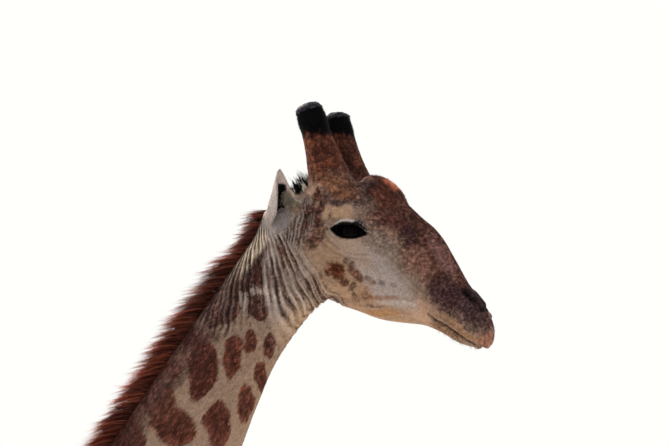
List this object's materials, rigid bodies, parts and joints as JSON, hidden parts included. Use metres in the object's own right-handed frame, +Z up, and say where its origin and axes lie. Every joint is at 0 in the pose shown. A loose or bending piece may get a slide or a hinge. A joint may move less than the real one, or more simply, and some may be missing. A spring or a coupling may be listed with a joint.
{
  "type": "giraffe",
  "caption": "Adult bull giraffe, life size, standing with its head turned to its right; skin-covered horns, short upright mane, patched coat and tufted tail.",
  "frame": {"origin": "centre of the model's box on the ground, level with the soles", "axes": "+X is where the body faces, +Y is the animal's left, +Z is up"},
  "size_m": [2.9998, 0.7196, 4.7888],
  "materials": {
    "coat": "short flat hair, brown patches on tan",
    "ossicone": "short hair, bald worn top",
    "eye": "wet gloss",
    "hoof": "dull horn",
    "mane": "stiff short hair",
    "tail_tuft": "long coarse hair"
  },
  "bodies": {
    "root": {"head": "coat", "neck": "coat", "trunk": "coat", "tail": "coat", "leg_front_left": "coat", "leg_front_right": "coat", "leg_hind_left": "coat", "leg_hind_right": "coat", "ossicone_left": "ossicone", "ossicone_right": "ossicone", "ear_left": "coat", "ear_right": "coat", "eye_left": "eye", "eye_right": "eye", "mane": "mane", "tail_tuft": "tail_tuft", "hoof_front_left_outer": "hoof", "hoof_front_left_inner": "hoof", "hoof_front_right_outer": "hoof", "hoof_front_right_inner": "hoof", "hoof_hind_left_outer": "hoof", "hoof_hind_left_inner": "hoof", "hoof_hind_right_outer": "hoof", "hoof_hind_right_inner": "hoof"}
  },
  "joints": []
}
